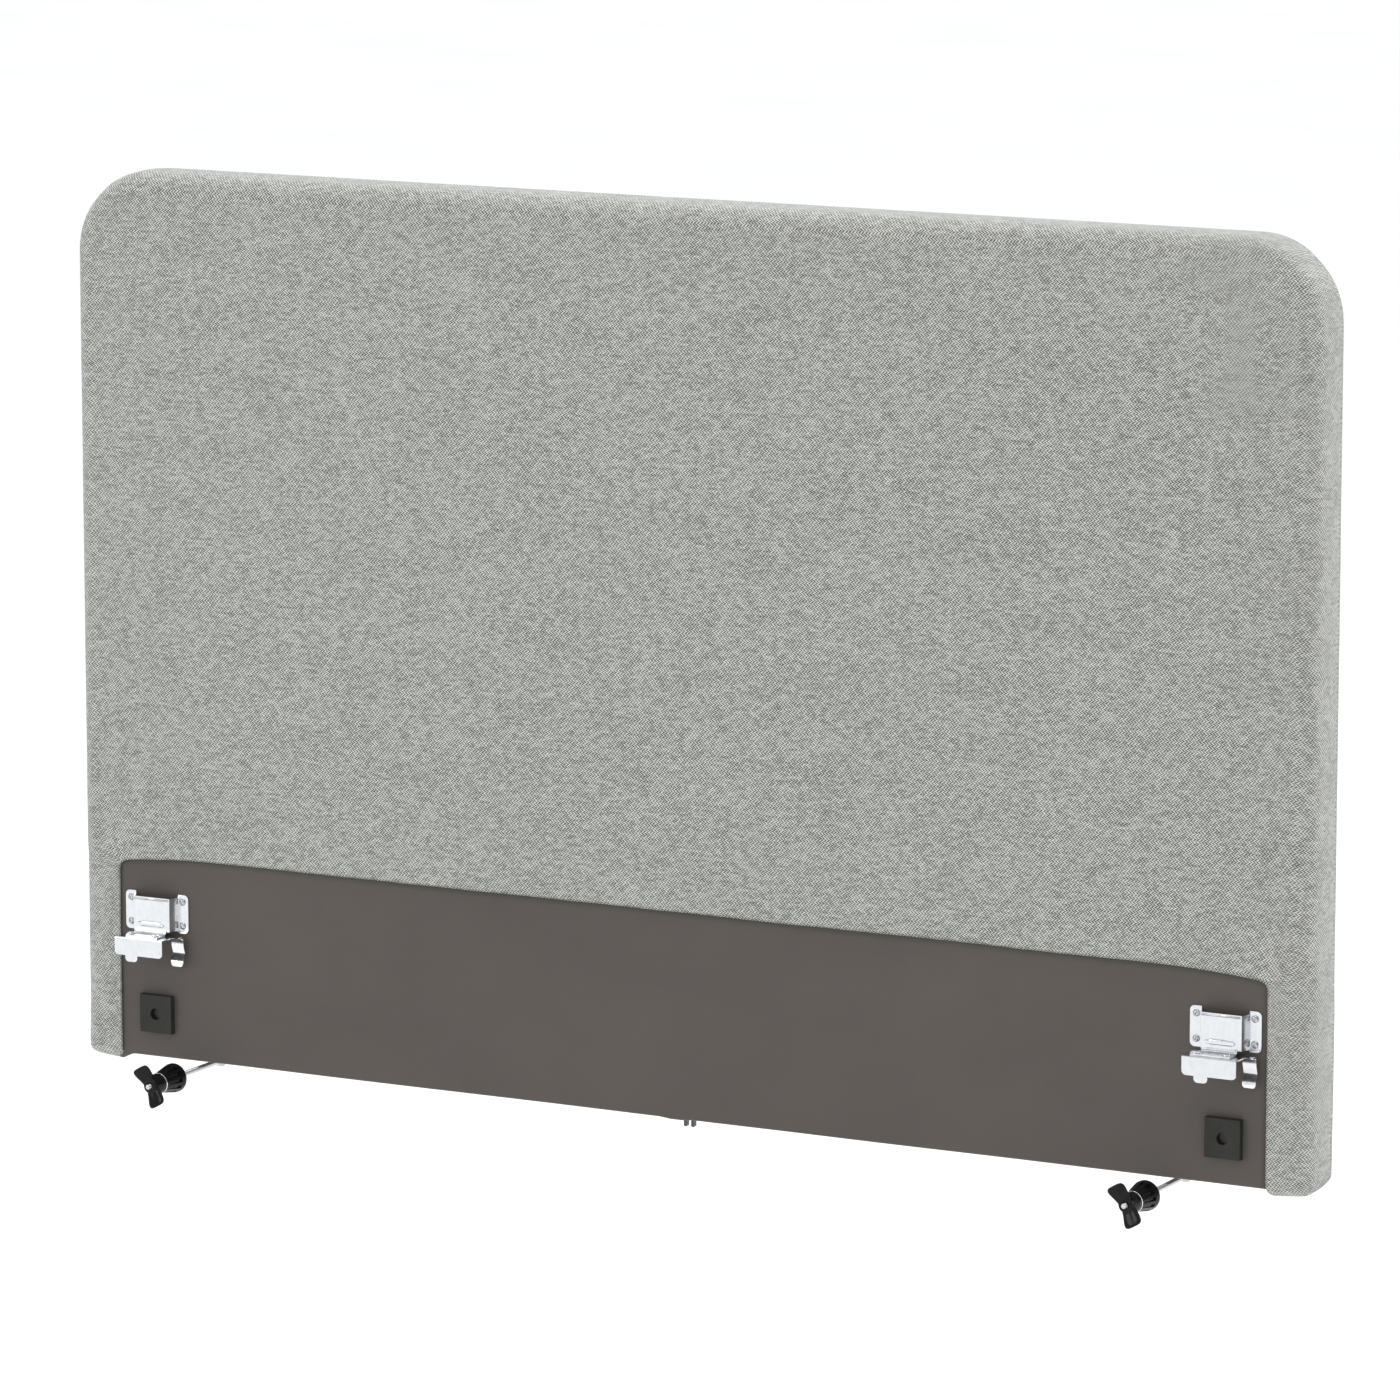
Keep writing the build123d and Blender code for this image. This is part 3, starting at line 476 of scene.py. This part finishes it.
def buildCover():
    points, layFront, layBack = [], [], []
    front, back = {}, {}
    for row in range(rowCount):
        for column in range(columnCount):
            for grid, isFront in ((front, True), (back, False)):
                place, lay, _ = coverPoint(column, row, isFront)
                grid[column, row] = len(points)
                points.append(place)
                layFront.append(lay)
                layBack.append(lay)
    windowRow = rowZs.index(cover["windowTop"])
    faces, isBack = [], []

    def inSlot(middle):  # the hem is cut away round each clamp's anchor plate
        return any(abs(middle - place) < cover["slotHalf"] for place in clampXs)

    def inWindow(column, row):
        middle = (columnXs[column] + columnXs[column + 1]) / 2
        return abs(middle) < window and row >= windowRow

    for row in range(rowCount - 1):
        for column in range(columnCount - 1):
            corners = ((column, row), (column + 1, row), (column + 1, row + 1), (column, row + 1))
            if not inWindow(column, row):
                faces.append([front[c] for c in reversed(corners)])
                isBack.append(False)
            middle = (columnXs[column] + columnXs[column + 1]) / 2
            if inSlot(middle) and row > rowCount - 6:
                continue
            faces.append([back[c] for c in corners])
            isBack.append(True)
    # side, top and bottom strip, from the front's outline to the back's
    loop = [(c, 0) for c in range(columnCount)]
    loop += [(columnCount - 1, r) for r in range(1, rowCount)]
    loop += [(c, rowCount - 1) for c in range(columnCount - 2, -1, -1)]
    loop += [(0, r) for r in range(rowCount - 2, 0, -1)]
    seamY = backY - cover["backRadius"]
    levels = [24.0, 34.0, cover["hemFront"], seamY - 3.4, seamY - 1.7]
    rings = [[front[k] for k in loop]]
    startY = frontY + cover["frontRadius"]
    for level in levels:
        ring = []
        for column, row in loop:
            (px, py, pz), lay, out = coverPoint(column, row, True)
            push = cover["belly"] * math.sin(math.pi * (level - startY) / (seamY - startY))
            if level == levels[-1]:
                push -= cover["seamTuck"]
            if row == rowCount - 1 and abs(columnXs[column]) < window:
                push = 0.0
            ring.append(len(points))
            pz += skirtLift(px, pz, level) - skirtLift(px, pz, py)
            points.append((px + out[0] * push, level, pz + out[1] * push))
            run = level - startY
            layFront.append((lay[0] + out[0] * run, lay[1] + out[1] * run))
            layBack.append(lay)
        rings.append(ring)
    rings.append([back[k] for k in loop])
    for index, (column, row) in enumerate(loop):
        after = (index + 1) % len(loop)
        nextColumn, nextRow = loop[after]
        middle = (columnXs[column] + columnXs[nextColumn]) / 2
        underside = row == nextRow == rowCount - 1 and abs(middle) < window - 5
        for step in range(len(rings) - 1):
            if underside and (step < 3 or inSlot(middle)):
                continue
            near, far = rings[step], rings[step + 1]
            faces.append([near[index], near[after], far[after], far[index]])
            isBack.append(False)
    # the back ring belongs to the strip's lay when a strip face uses it
    stripLay = {}
    for key in loop:
        _, lay, out = coverPoint(*key, True)
        run = seamY - startY
        stripLay[back[key]] = (lay[0] + out[0] * run, lay[1] + out[1] * run)
    # turned-in fold round the window
    edge = [(c, windowRow) for c in range(columnCount) if abs(columnXs[c]) <= window + 0.01]
    leftColumn, rightColumn = edge[0][0], edge[-1][0]
    down = [(rightColumn, r) for r in range(windowRow + 1, rowCount)]
    edge = [(leftColumn, r) for r in range(rowCount - 1, windowRow, -1)] + edge + down
    previous = [front[k] for k in edge]
    for inset, deep in ((0.5, 0.5), (0.7, 1.5), (0.2, 3.3), (-3.0, 4.6)):
        ring = []
        for key in edge:
            px, py, pz = points[front[key]]
            towardX = -math.copysign(1, px) if key[0] in (leftColumn, rightColumn) else 0
            towardZ = -1 if key[1] == windowRow else 0
            ring.append(len(points))
            points.append((px + towardX * inset, py + deep, pz + towardZ * inset))
            lay = layFront[front[key]]
            layFront.append((lay[0] + towardX * deep, lay[1] + towardZ * deep))
            layBack.append(lay)
        for i in range(len(edge) - 1):
            faces.append([previous[i], previous[i + 1], ring[i + 1], ring[i]])
            isBack.append(False)
        previous = ring
    # drop points that no face uses
    used = sorted({v for f in faces for v in f})
    renumber = {v: i for i, v in enumerate(used)}
    piece = newPiece(
        "fabricCover",
        [Vector(points[v]) * mm for v in used],
        [[renumber[v] for v in f] for f in faces],
        finishes["cover_fabric"],
    )
    layMap = piece.data.uv_layers.new(name="clothLay")
    for face in piece.data.polygons:
        for corner in face.loop_indices:
            v = used[piece.data.loops[corner].vertex_index]
            u = layBack[v] if isBack[face.index] else stripLay.get(v, layFront[v])
            layMap.data[corner].uv = (u[0] * mm, u[1] * mm)
    return piece


swell = {
    "pressure": 4.0,
    "frames": 20,
    "cap": 3.5,
    "share": 0.5,  # how much of the capped swell is kept
    "mass": 0.3,
    "stretch": 25,
    "shear": 12,
    "bend": 1.5,
}


def inflate(piece):  # pressure swells the tight cover between its held edges
    trial = piece.copy()
    trial.data = piece.data.copy()
    bpy.context.scene.collection.objects.link(trial)
    held = trial.vertex_groups.new(name="held")
    rest = np.zeros(len(trial.data.vertices) * 3)
    trial.data.vertices.foreach_get("co", rest)
    rest = rest.reshape(-1, 3)
    for vertex in trial.data.vertices:
        x, y, z = vertex.co / mm
        nearWindow = abs(x) < window + 3 and z < cover["windowTop"] + 4 and y < 3
        if nearWindow or z < liningZ + 8:
            held.add([vertex.index], 1.0, "REPLACE")
    cloth = trial.modifiers.new("swell", "CLOTH")
    cloth.settings.quality = 5
    cloth.settings.mass = swell["mass"]
    cloth.settings.tension_stiffness = swell["stretch"]
    cloth.settings.compression_stiffness = swell["stretch"]
    cloth.settings.shear_stiffness = swell["shear"]
    cloth.settings.bending_stiffness = swell["bend"]
    cloth.settings.vertex_group_mass = "held"
    cloth.settings.use_pressure = True
    cloth.settings.uniform_pressure_force = swell["pressure"]
    cloth.settings.effector_weights.gravity = 0
    cloth.collision_settings.use_collision = False
    scene = bpy.context.scene
    for step in range(1, swell["frames"] + 1):
        scene.frame_set(step)
    grown = trial.evaluated_get(bpy.context.evaluated_depsgraph_get()).to_mesh()
    moved = np.zeros(len(grown.vertices) * 3)
    grown.vertices.foreach_get("co", moved)
    shift = moved.reshape(-1, 3) - rest
    atSide = np.abs(rest[:, 0]) > (halfWidth - cover["frontRadius"]) * mm
    atTop = rest[:, 2] > (topZ - cover["frontRadius"]) * mm
    outward = np.sign(rest[:, 0])
    # the frame holds the outline, so the edges only move outward
    shift[atSide, 0] = (np.maximum(shift[:, 0] * outward, 0) * outward)[atSide]
    shift[atTop, 2] = np.maximum(shift[atTop, 2], 0)
    far = np.linalg.norm(shift, axis=1, keepdims=True)
    print("swell: most", round(float(far.max()) / mm, 2), "mm before the cap")
    shift *= np.minimum(1.0, swell["cap"] * mm / np.maximum(far, 1e-9))
    piece.data.vertices.foreach_set("co", (rest + shift * swell["share"]).ravel())
    bpy.data.objects.remove(trial)
    scene.frame_set(1)


coverPiece = buildCover()
print("cover built:", len(coverPiece.data.vertices), "points")
inflate(coverPiece)
smoothed = coverPiece.modifiers.new("smoothed", "SUBSURF")
smoothed.levels = 1
smoothed.render_levels = 1
foams = ("front_foam", "left_border_foam", "right_border_foam", "edge_foam", "back_foam")
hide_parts("fabric_cover", *foams)


lining = {
    "tuck": 4.0,  # how far the sheet runs behind the cover's folded edge
    "bend": 2.2,
    "baseBack": 26.0,
    "tailX": 3.0,
    "tailDip": 3.6,
    "endDip": 6.0,  # the lower left corner is pulled down to the skirt
    "tailWidth": 7.0,
    "endReach": 14.0,
    "spacing": 14.0,
    "thickness": 0.6,
}


def buildLining():
    reach = window + lining["tuck"]
    xs = spaced(-reach, -window + 16, 4)
    xs += spaced(-window + 16, reach, lining["spacing"]) + [reach]
    heights = spaced(1.0, 0.0, 0.055) + [0.0]
    bend = lining["bend"]
    profile = [("front", h) for h in heights]
    profile += [("bend", math.pi / 2 * i / 4) for i in range(1, 5)]
    profile += [("base", d) for d in (6.0, 12.0, 18.0, 22.0, lining["baseBack"])]
    points = []
    for kind, value in profile:
        for x in xs:
            dip = lining["tailDip"] * math.exp(-(((x - lining["tailX"]) / lining["tailWidth"]) ** 2))
            endShare = (lining["endReach"] - window - x) / lining["endReach"]
            dip += lining["endDip"] * min(1.0, max(0.0, endShare)) ** 1.3
            low = liningZ + bend - dip + 0.5 * ripple(x, 0, 210, 5.5)
            high = windowTopAt(max(-window, min(window, x))) + lining["tuck"]
            slack = 0.35 * ripple(x, value * 200, 120, 9.2)
            if kind == "front":
                point = (x, 0.25 + slack, low + (high - low) * value)
            elif kind == "bend":
                point = (x, 0.25 + bend * (1 - math.cos(value)), low - bend * math.sin(value))
            else:
                lift = 0.0 if value < lining["baseBack"] else 2.5
                point = (x, value, liningZ - dip * (1 - value / 40) + lift)
            points.append(Vector(point) * mm)
    width = len(xs)
    faces = []
    for i in range(len(profile) - 1):
        for j in range(width - 1):
            a = i * width + j
            faces.append((a, a + width, a + width + 1, a + 1))
    piece = newPiece("liningSheet", points, faces, finishes["lining_fabric"])
    thick = piece.modifiers.new("thick", "SOLIDIFY")
    thick.thickness = lining["thickness"] * mm
    thick.offset = -1
    return piece


liningPiece = buildLining()
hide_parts("lower_lining", "base_lining")


def hemPatch(side):  # the lining carries on under the panel's outer end, where no zip runs
    patch = {
        "inner": 546.0,
        "outer": 708.0,
        "near": 23.0,
        "far": 51.0,
        "gap": 1.6,
        "sag": 0.5,
        "steps": (18, 5),
    }
    sign = -1 if side == "left" else 1
    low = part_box("frame_bottom_rail")[0].z / mm - patch["gap"]
    points, faces = [], []
    wide, deep = patch["steps"]
    for i in range(deep + 1):
        y = patch["near"] + (patch["far"] - patch["near"]) * i / deep
        for j in range(wide + 1):
            x = sign * (patch["inner"] + (patch["outer"] - patch["inner"]) * j / wide)
            z = low + patch["sag"] * ripple(x, y, 30, 6.1)
            points.append(Vector((x, y, z)) * mm)
    for i in range(deep):
        for j in range(wide):
            a = i * (wide + 1) + j
            faces.append((a, a + 1, a + wide + 2, a + wide + 1))
    piece = newPiece(f"{side}HemPatch", points, faces, finishes["lining_fabric"])
    thick = piece.modifiers.new("thick", "SOLIDIFY")
    thick.thickness = lining["thickness"] * mm
    thick.offset = 1


for side in ("left", "right"):
    hemPatch(side)
print("lining built")


def joinRings(faces, ring, other, count):  # quads between two rings of points
    for j in range(count):
        k = (j + 1) % count
        faces.append((ring + j, ring + k, other + k, other + j))


def threadedRod(side):
    low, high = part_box(f"{side}_clamp_rod")
    thread = {"pitch": 1.0 * mm, "depth": 0.5 * mm, "chamfer": 0.6 * mm, "segments": 20, "ringsPerTurn": 4}
    centreX, centreZ = (low.x + high.x) / 2, (low.z + high.z) / 2
    radius = (high.x - low.x) / 2
    length = high.y - low.y
    rings = round(length / thread["pitch"] * thread["ringsPerTurn"])
    points, faces = [], []
    segments = thread["segments"]
    for i in range(rings + 1):
        along = length * i / rings
        endCut = max(0.0, thread["chamfer"] - min(along, length - along))
        for j in range(segments):
            turn = j / segments
            phase = (along / thread["pitch"] - turn) % 1.0
            ridge = abs(phase * 2 - 1)
            r = radius - thread["depth"] * min(1.0, max(0.0, ridge * 1.5 - 0.35)) - endCut
            angle = turn * math.tau
            x, z = centreX + r * math.sin(angle), centreZ + r * math.cos(angle)
            points.append((x, low.y + along, z))
    for i in range(rings):
        joinRings(faces, i * segments, (i + 1) * segments, segments)
    faces.append(tuple(reversed(range(segments))))
    faces.append(tuple(rings * segments + j for j in range(segments)))
    piece = newPiece(f"{side}ThreadedRod", points, faces, finishes["rod_steel"])
    piece.data.polygons[-1].use_smooth = False
    piece.data.polygons[-2].use_smooth = False
    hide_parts(f"{side}_clamp_rod")


def zipTeeth(side):
    low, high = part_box(f"{side}_zip_chain")
    teeth = {"pitch": 2.0 * mm, "length": 1.35 * mm, "overlap": 0.9 * mm, "bevel": 0.5 * mm}
    points, faces = [], []
    count = int((high.x - low.x) / teeth["pitch"])
    middleY = (low.y + high.y) / 2
    for i in range(count * 2):
        sign = 1 if i % 2 else -1
        x = low.x + teeth["length"] / 2 + i * teeth["pitch"] / 2
        if x + teeth["length"] / 2 > high.x:
            break
        outer = middleY + sign * (high.y - middleY)
        inner = middleY - sign * teeth["overlap"]
        base = len(points)
        sections = (  # place, half width, top and bottom as shares of the tooth
            (outer, 0.34, 0.75, 0.25),
            (outer - sign * teeth["bevel"], 0.48, 1.0, 0.0),
            (middleY, 0.40, 1.0, 0.0),
            (inner, 0.22, 0.75, 0.25),
        )
        for y, half, top, bottom in sections:
            h = teeth["length"] * half
            zTop = low.z + (high.z - low.z) * top
            zLow = low.z + (high.z - low.z) * bottom
            points += [(x - h, y, zLow), (x + h, y, zLow), (x + h, y, zTop), (x - h, y, zTop)]
        order = (0, 1, 2, 3) if sign > 0 else (3, 2, 1, 0)
        for ring in range(3):
            a, b = base + ring * 4, base + ring * 4 + 4
            for j in range(4):
                k = (j + 1) % 4
                faces.append((a + order[j], a + order[k], b + order[k], b + order[j]))
        faces.append(tuple(base + o for o in reversed(order)))
        faces.append(tuple(base + 12 + o for o in order))
    surface = finishes["zip_chain"]
    piece = newPiece(f"{side}ZipTeeth", points, faces, surface, smooth=False)
    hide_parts(f"{side}_zip_chain")


def wingNut(side):
    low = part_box(f"{side}_wing_nut")[0]
    rodLow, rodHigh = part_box(f"{side}_clamp_rod")
    wing = {
        "lean": math.radians(30),
        "reach": 24.0 * mm,
        "bore": ((3.3, 22.0), (3.3, 6.0), (4.2, 4.6)),  # radius and depth along the rod
        "hub": ((7.4, 4.6), (8.4, 6.0), (9.2, 9.0), (10.2, 13.0), (11.2, 17.5), (11.6, 21.3), (11.0, 22.0)),
        "lobeStart": 4.9 * mm,
        "squareness": 0.85,
        "halfWidths": (8.0, 8.8, 9.8, 10.5, 10.6, 9.8, 7.8, 4.2),
        "fronts": (4.4, 3.6, 2.4, 1.2, 0.4, 0.0, 0.2, 1.2),
        "backs": (12.0, 11.0, 9.4, 7.8, 6.4, 5.4, 4.8, 4.2),
        "dish": 1.2 * mm,
        "voxel": 0.5 * mm,
    }
    centre = Vector(((rodLow.x + rodHigh.x) / 2, low.y, (rodLow.z + rodHigh.z) / 2))
    points, faces = [], []
    segments = 40
    profile = [(r * mm, y * mm) for r, y in wing["bore"] + wing["hub"]]
    start = len(points)
    for r, y in profile:
        for j in range(segments):
            angle = j / segments * math.tau
            points.append(centre + Vector((r * math.sin(angle), y, r * math.cos(angle))))
    for i in range(len(profile)):
        after = (i + 1) % len(profile)
        joinRings(faces, start + i * segments, start + after * segments, segments)
    count = len(wing["halfWidths"])
    for sign in (1, -1):
        along = Vector((-math.sin(wing["lean"]), 0, math.cos(wing["lean"]))) * sign
        across = Vector((math.cos(wing["lean"]), 0, math.sin(wing["lean"])))
        start = len(points)
        for i in range(count):
            out = math.sin(math.pi / 2 * i / (count - 1))
            u = wing["lobeStart"] + (wing["reach"] - wing["lobeStart"]) * out
            half = wing["halfWidths"][i] * mm
            front, back = wing["fronts"][i] * mm, wing["backs"][i] * mm
            for j in range(segments):
                angle = j / segments * math.tau
                v = half * math.copysign(abs(math.cos(angle)) ** wing["squareness"], math.cos(angle))
                thick = math.copysign(abs(math.sin(angle)) ** wing["squareness"], math.sin(angle))
                y = (front + back) / 2 + thick * (back - front) / 2
                if thick < 0:
                    y += wing["dish"] * thick * (abs(v) / half - 1) * (1 - i / count)
                points.append(centre + along * u + across * v + Vector((0, y, 0)))
        for i in range(count - 1):
            joinRings(faces, start + i * segments, start + (i + 1) * segments, segments)
        faces.append(tuple(start + j for j in range(segments)))
        faces.append(tuple(start + (count - 1) * segments + j for j in range(segments)))
    surface = finishes["black_plastic"]
    piece = newPiece(f"{side}WingNut", points, faces, surface, f"{side}_wing")
    merge = piece.modifiers.new("merge", "REMESH")
    merge.mode = "VOXEL"
    merge.voxel_size = wing["voxel"]
    merge.use_smooth_shade = True
    soften = piece.modifiers.new("soften", "SMOOTH")
    soften.factor = 0.5
    soften.iterations = 5
    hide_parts(f"{side}_wing_nut")


def bracketDetail(side):
    low, high = (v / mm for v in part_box(f"{side}_bracket"))
    emboss = {"length": 30.0, "half": 3.4, "stand": 1.5, "height": 14.0}
    lip = {"half": 22.4, "radius": 2.2, "run": 3.2, "sheet": 1.0, "top": 44.7, "overlap": 0.15}
    face = -14.0  # the bracket's front
    centreX = (low.x + high.x) / 2
    points, faces = [], []
    segments = 32
    rings = 7
    for i in range(rings):  # the pressed rib, a long dome
        share = math.cos(math.pi / 2 * i / rings)
        lift = emboss["stand"] * math.sqrt(1 - share**2)
        for j in range(segments):
            angle = (j + 0.5) / segments * math.tau
            shift = math.copysign(emboss["length"] / 2 - emboss["half"], math.cos(angle))
            x = centreX + shift + emboss["half"] * share * math.cos(angle)
            z = emboss["height"] + emboss["half"] * share * math.sin(angle)
            points.append(Vector((x, face + 0.1 - lift, z)) * mm)
    for i in range(rings - 1):
        joinRings(faces, i * segments, (i + 1) * segments, segments)
    faces.append(tuple((rings - 1) * segments + j for j in range(segments)))
    outer = face - lip["overlap"]
    profile = [(outer, lip["top"] - lip["radius"] - 1.5)]
    for i in range(7):  # the rolled top edge of the box
        angle = math.pi / 2 * i / 6
        y = outer + lip["radius"] * (1 - math.cos(angle))
        profile.append((y, lip["top"] - lip["radius"] * (1 - math.sin(angle))))
    profile.append((face + lip["run"], lip["top"]))
    profile.append((face + lip["run"], lip["top"] - lip["sheet"]))
    profile.append((face + 1.0, lip["top"] - lip["sheet"] - 1.6))
    start = len(points)
    for x in (-lip["half"], lip["half"]):
        points += [Vector((centreX + x, y, z)) * mm for y, z in profile]
    count = len(profile)
    for i in range(count):
        k = (i + 1) % count
        faces.append((start + i, start + k, start + count + k, start + count + i))
    faces.append(tuple(start + i for i in range(count)))
    faces.append(tuple(start + count + i for i in reversed(range(count))))
    newPiece(f"{side}BracketPressing", points, faces, finishes["zinc_sheet"])


for side in ("left", "right"):
    bracketDetail(side)
    threadedRod(side)
    zipTeeth(side)
    wingNut(side)
print("rods, zips and wing nuts built")


def studio():
    room = {
        "floorDrop": 0.30,
        "horizon": 0.70,  # brightness of the room at eye level
        "overhead": 1.05,  # and what is added towards the top
        "darkSides": (  # direction and how dark; the metal needs something to mirror
            ((0.94, -0.28, 0.2), 0.72),
            ((-0.1, -0.6, 0.79), 0.6),
            ((-0.97, -0.2, 0.1), 0.5),
        ),
        "lamps": {
            "topSoft": {"place": (0.4, 0.2, 4.4), "aim": (0, 0, 0.4), "size": 3.2, "power": 75},
            "sideSoft": {"place": (4.8, 1.6, 1.4), "aim": (0, 0, 0.3), "size": 2.4, "power": 48},
            "frontSoft": {"place": (-3.4, -5.2, 1.8), "aim": (0, 0, 0.2), "size": 2.6, "power": 58},
        },
    }
    white = Finish(bpy.data.materials.new("paleFloor"), Roughness=0.9)
    cloud = white.noise(white.place(), 2.0, 2.0)
    grey, paper = (0.90, 0.90, 0.90), (0.93, 0.93, 0.93)
    white.set("Base Color", white.ramp(cloud, (0.3, grey), (0.7, paper)))
    bpy.ops.mesh.primitive_plane_add(size=160, location=(0, 0, cadBox[0][2] - room["floorDrop"]))
    floor = bpy.context.object
    floor.name = "paleFloor"
    floor.data.materials.append(white.owner)
    world = bpy.data.worlds.new("softRoom")
    sky = Finish(world, "Background")
    toward = sky.node("ShaderNodeTexCoord", {}, {}, "Generated")
    height = sky.split(toward)[2]
    glow = sky.maths("MAXIMUM", height, 0.0) * room["overhead"] + room["horizon"]
    for direction, depth in room["darkSides"]:
        dot = {"operation": "DOT_PRODUCT"}
        facing = sky.node("ShaderNodeVectorMath", dot, {0: toward, 1: direction}, "Value")
        fade = {"Value": facing, "From Min": 0.72, "From Max": 0.96, "To Min": 1.0, "To Max": 1.0 - depth}
        glow = glow * sky.node("ShaderNodeMapRange", {"interpolation_type": "SMOOTHSTEP"}, fade)
    sky.set("Strength", glow)
    sky.set("Color", (0.985, 0.99, 1.0, 1))
    bpy.context.scene.world = world
    for name, lamp in room["lamps"].items():
        data = bpy.data.lights.new(name, "AREA")
        data.shape = "DISK"
        data.size = lamp["size"]
        data.energy = lamp["power"]
        light = bpy.data.objects.new(name, data)
        light.location = lamp["place"]
        aim = Vector(lamp["aim"]) - light.location
        light.rotation_euler = aim.to_track_quat("-Z", "Y").to_euler()
        bpy.context.scene.collection.objects.link(light)
    bpy.context.scene.view_settings.view_transform = "Standard"


def photoCamera():
    view = {"lens": 201.3, "place": (3.933, -7.322, 1.773), "turn": 28.04, "tilt": 9.91}  # mm, m, degrees
    data = bpy.data.cameras.new("viewCamera")
    data.lens = view["lens"]
    data.clip_end = 400
    camera = bpy.data.objects.new("viewCamera", data)
    camera.location = view["place"]
    camera.rotation_euler = (math.radians(90 - view["tilt"]), 0, math.radians(view["turn"]))
    bpy.context.scene.collection.objects.link(camera)
    bpy.context.scene.camera = camera


studio()
photoCamera()
bpy.context.view_layer.update()
print("studio ready")
